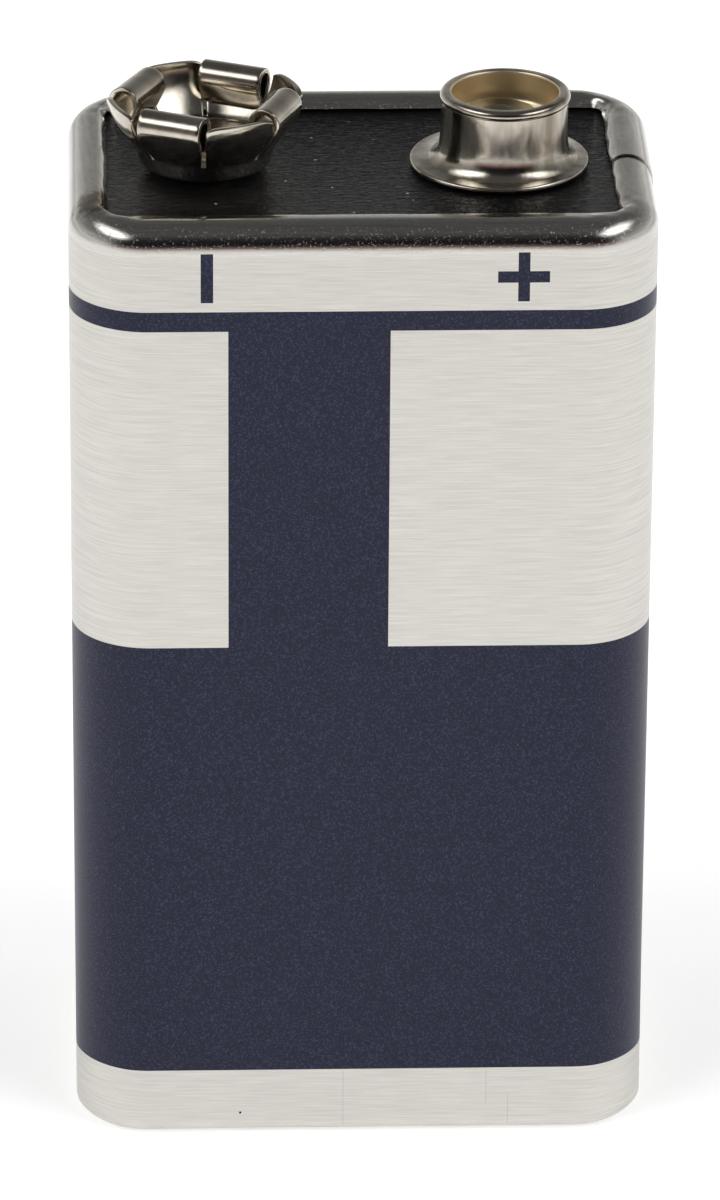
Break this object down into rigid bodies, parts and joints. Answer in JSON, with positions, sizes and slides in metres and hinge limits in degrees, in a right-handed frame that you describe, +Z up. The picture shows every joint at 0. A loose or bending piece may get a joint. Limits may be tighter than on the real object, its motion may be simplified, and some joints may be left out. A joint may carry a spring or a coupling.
{
  "type": "nine volt battery",
  "caption": "Upright box battery in a wrapped metal jacket, with a snap stud and a petalled snap socket on its black top board, and sealed cells in series inside.",
  "frame": {"origin": "middle of the footprint, on the surface that the battery stands on", "axes": "+Z up towards the terminals, X along the long side with the positive stud at +X, front face towards -Y"},
  "size_m": [0.0258, 0.0168, 0.0475],
  "materials": {
    "printed_tinplate": "brushed tinplate with printed dark blue fields",
    "black_board": "fine grained, slightly glossy",
    "nickel_plate": "nickel plated, drawn",
    "nickel_strip": "rolled nickel strip",
    "rivet_metal": "plated, turned",
    "cell_can": "drawn steel can",
    "sleeve_film": "shrunk film",
    "insulating_card": "pressed card"
  },
  "bodies": {
    "root": {"bottom_insulator": "insulating_card", "bottom_plate": "black_board", "bottom_strap_1": "nickel_strip", "bottom_strap_2": "nickel_strip", "bottom_strap_3": "nickel_strip", "cell_1": "cell_can", "cell_2": "cell_can", "cell_3": "cell_can", "cell_4": "cell_can", "cell_5": "cell_can", "cell_6": "cell_can", "cell_sleeve_1": "sleeve_film", "cell_sleeve_2": "sleeve_film", "cell_sleeve_3": "sleeve_film", "cell_sleeve_4": "sleeve_film", "cell_sleeve_5": "sleeve_film", "cell_sleeve_6": "sleeve_film", "cell_washer_1": "insulating_card", "cell_washer_2": "insulating_card", "cell_washer_3": "insulating_card", "cell_washer_4": "insulating_card", "cell_washer_5": "insulating_card", "cell_washer_6": "insulating_card", "jacket": "printed_tinplate", "negative_rivet": "rivet_metal", "negative_socket": "nickel_plate", "negative_tab": "nickel_strip", "positive_rivet": "rivet_metal", "positive_stud": "nickel_plate", "positive_tab": "nickel_strip", "terminal_board": "black_board", "top_insulator": "insulating_card", "top_strap_1": "nickel_strip", "top_strap_2": "nickel_strip"}
  },
  "joints": []
}
